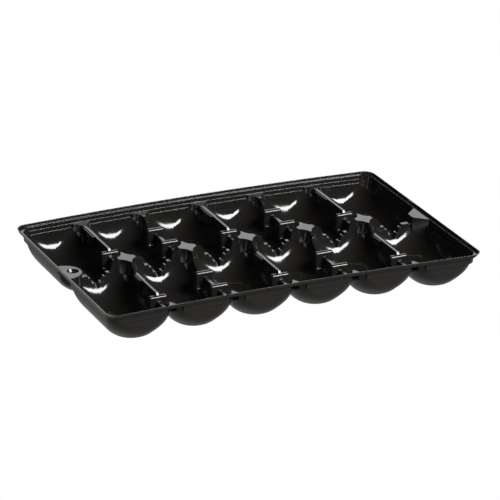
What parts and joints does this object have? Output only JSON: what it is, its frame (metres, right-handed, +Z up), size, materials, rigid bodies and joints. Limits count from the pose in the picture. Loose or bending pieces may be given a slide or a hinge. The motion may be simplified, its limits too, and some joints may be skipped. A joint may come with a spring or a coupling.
{
  "type": "thermoformed plastic tray",
  "caption": "Shallow rectangular fruit tray formed from one plastic sheet: two rows of long round-bottomed bowls, low ridges, stepped rim.",
  "frame": {"origin": "middle of the footprint, on the surface the tray stands on", "axes": "+X along the length, +Y across towards the back row of bowls, +Z up out of the bowls"},
  "size_m": [0.4, 0.2594, 0.041],
  "materials": {
    "black_sheet": "glossy, shallow waves from forming"
  },
  "bodies": {
    "root": {"tray": "black_sheet"}
  },
  "joints": []
}
